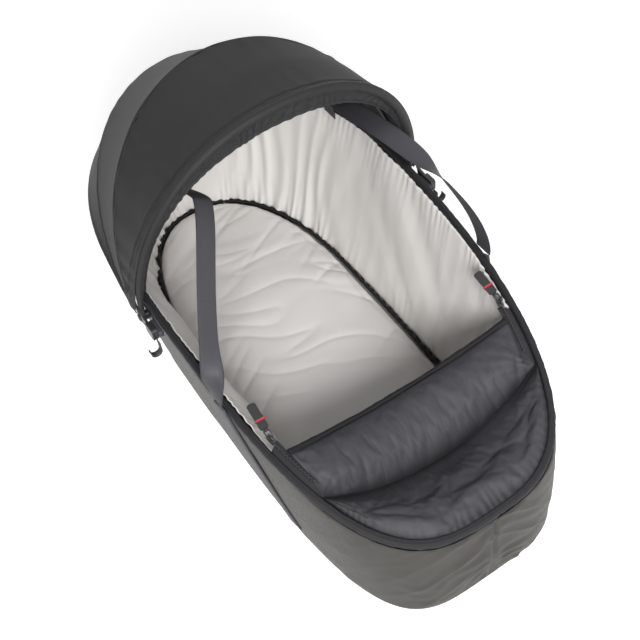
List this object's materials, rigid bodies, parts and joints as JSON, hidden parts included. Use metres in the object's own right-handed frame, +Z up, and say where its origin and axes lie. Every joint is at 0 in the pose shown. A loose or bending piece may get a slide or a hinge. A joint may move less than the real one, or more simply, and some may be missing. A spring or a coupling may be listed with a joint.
{
  "type": "carrycot",
  "caption": "Soft carrycot tub with a folding bow hood, gathered lining and mattress, a zipped padded foot apron and webbing handles.",
  "frame": {"origin": "centre of the bounding box's bottom face, under the cot's middle", "axes": "+Y to the head end, +X to the right of someone who stands at the foot and looks to the head, +Z up"},
  "size_m": [0.424, 0.7605, 0.457],
  "materials": {
    "shell_cloth": "taupe-grey coated woven cloth",
    "hood_cloth": "charcoal woven cloth",
    "apron_cloth": "dark grey padded cloth with a slight sheen",
    "binding_cloth": "near-black tape",
    "lining_cloth": "off-white soft cloth",
    "mattress_cloth": "light grey soft cover",
    "webbing": "dark grey webbing",
    "black_plastic": "black moulded plastic",
    "red_mark": "red band",
    "stiff_board": "stiff inner board",
    "steel": "plain steel"
  },
  "bodies": {
    "tub": {"apron_foot": "apron_cloth", "base_board": "stiff_board", "bow_rear": "black_plastic", "canopy_rear": "hood_cloth", "clip_body_left": "black_plastic", "clip_body_right": "black_plastic", "handle_strip_left": "webbing", "handle_strip_right": "webbing", "handle_tab_left": "webbing", "handle_tab_right": "webbing", "lining": "lining_cloth", "outer_shell": "shell_cloth", "pivot_pin_left": "steel", "pivot_pin_right": "steel", "pivot_plate_left": "black_plastic", "pivot_plate_right": "black_plastic", "rim_binding": "binding_cloth", "stiffener_foot": "stiff_board", "stiffener_head": "stiff_board", "stiffener_left": "stiff_board", "stiffener_right": "stiff_board", "zip_tape_left": "binding_cloth", "zip_tape_right": "binding_cloth", "zip_teeth_left": "black_plastic", "zip_teeth_right": "black_plastic"},
    "hood_front": {"bow_front": "black_plastic", "hood_sleeve": "hood_cloth", "hood_ruffle": "hood_cloth", "canopy_front": "hood_cloth"},
    "hood_middle": {"bow_middle": "black_plastic", "canopy_middle": "hood_cloth"},
    "apron_front": {"apron_front": "apron_cloth", "apron_hem": "apron_cloth"},
    "mattress": {"mattress": "mattress_cloth", "mattress_piping": "binding_cloth"},
    "handle_left": {"handle_left": "webbing"},
    "slider_left": {"zip_slider_left": "steel"},
    "link_left": {"zip_link_left": "steel"},
    "pull_left": {"zip_pull_left": "black_plastic", "pull_stripe_left": "red_mark"},
    "clip_left": {"clip_socket_left": "black_plastic", "clip_tail_left": "webbing", "clip_anchor_left": "webbing"},
    "handle_right": {"handle_right": "webbing"},
    "slider_right": {"zip_slider_right": "steel"},
    "link_right": {"zip_link_right": "steel"},
    "pull_right": {"zip_pull_right": "black_plastic", "pull_stripe_right": "red_mark"},
    "clip_right": {"clip_socket_right": "black_plastic", "clip_tail_right": "webbing", "clip_anchor_right": "webbing"}
  },
  "joints": [
    {"name": "hood_fold", "type": "hinge", "parent": "tub", "child": "hood_middle", "pos_m": [0, 0.0438, 0.20959], "axis": [-1, 0, 0], "range_deg": [0, 28], "deforming": ["canopy_middle"]},
    {"name": "hood_front_fold", "type": "hinge", "parent": "hood_middle", "child": "hood_front", "pos_m": [0, 0.0438, 0.20959], "axis": [-1, 0, 0], "range_deg": [0, 22.5], "deforming": ["canopy_front", "hood_ruffle"]},
    {"name": "apron_crease", "type": "hinge", "parent": "tub", "child": "apron_front", "pos_m": [0, -0.263, 0.18071], "axis": [1, 0, 0], "range_deg": [0, 110]},
    {"name": "mattress_lift", "type": "slide", "parent": "tub", "child": "mattress", "axis": [0, 0, 1], "range_m": [0, 0.06]},
    {"name": "handle_left_swing", "type": "hinge", "parent": "tub", "child": "handle_left", "pos_m": [-0.17476, 0.0305, 0.23192], "axis": [0.0647, 0.9942, 0.0855], "range_deg": [0, 25]},
    {"name": "zip_left_slide", "type": "slide", "parent": "tub", "child": "slider_left", "axis": [0.1966, -0.9489, -0.2467], "range_m": [0, 0.028]},
    {"name": "link_left_swing", "type": "hinge", "parent": "slider_left", "child": "link_left", "pos_m": [-0.15787, -0.18481, 0.20519], "axis": [0.9983, -0.0158, -0.0555], "range_deg": [0, 100]},
    {"name": "pull_left_swing", "type": "hinge", "parent": "link_left", "child": "pull_left", "pos_m": [-0.15756, -0.17414, 0.20783], "axis": [0.9983, -0.0158, -0.0555], "range_deg": [0, 50]},
    {"name": "clip_left_release", "type": "slide", "parent": "tub", "child": "clip_left", "axis": [0, -1, 0], "range_m": [0, 0.013]},
    {"name": "handle_right_swing", "type": "hinge", "parent": "tub", "child": "handle_right", "pos_m": [0.17476, 0.0305, 0.23192], "axis": [0.0647, -0.9942, -0.0855], "range_deg": [0, 30]},
    {"name": "zip_right_slide", "type": "slide", "parent": "tub", "child": "slider_right", "axis": [-0.1966, -0.9489, -0.2467], "range_m": [0, 0.028]},
    {"name": "link_right_swing", "type": "hinge", "parent": "slider_right", "child": "link_right", "pos_m": [0.15787, -0.18481, 0.20519], "axis": [0.9983, 0.0158, 0.0555], "range_deg": [0, 100]},
    {"name": "pull_right_swing", "type": "hinge", "parent": "link_right", "child": "pull_right", "pos_m": [0.15756, -0.17414, 0.20783], "axis": [0.9983, 0.0158, 0.0555], "range_deg": [0, 50]},
    {"name": "clip_right_release", "type": "slide", "parent": "tub", "child": "clip_right", "axis": [0, -1, 0], "range_m": [0, 0.013]}
  ],
  "couplings": [
    {"joint": "hood_front_fold", "follows": "hood_fold", "ratio": 0.8}
  ]
}
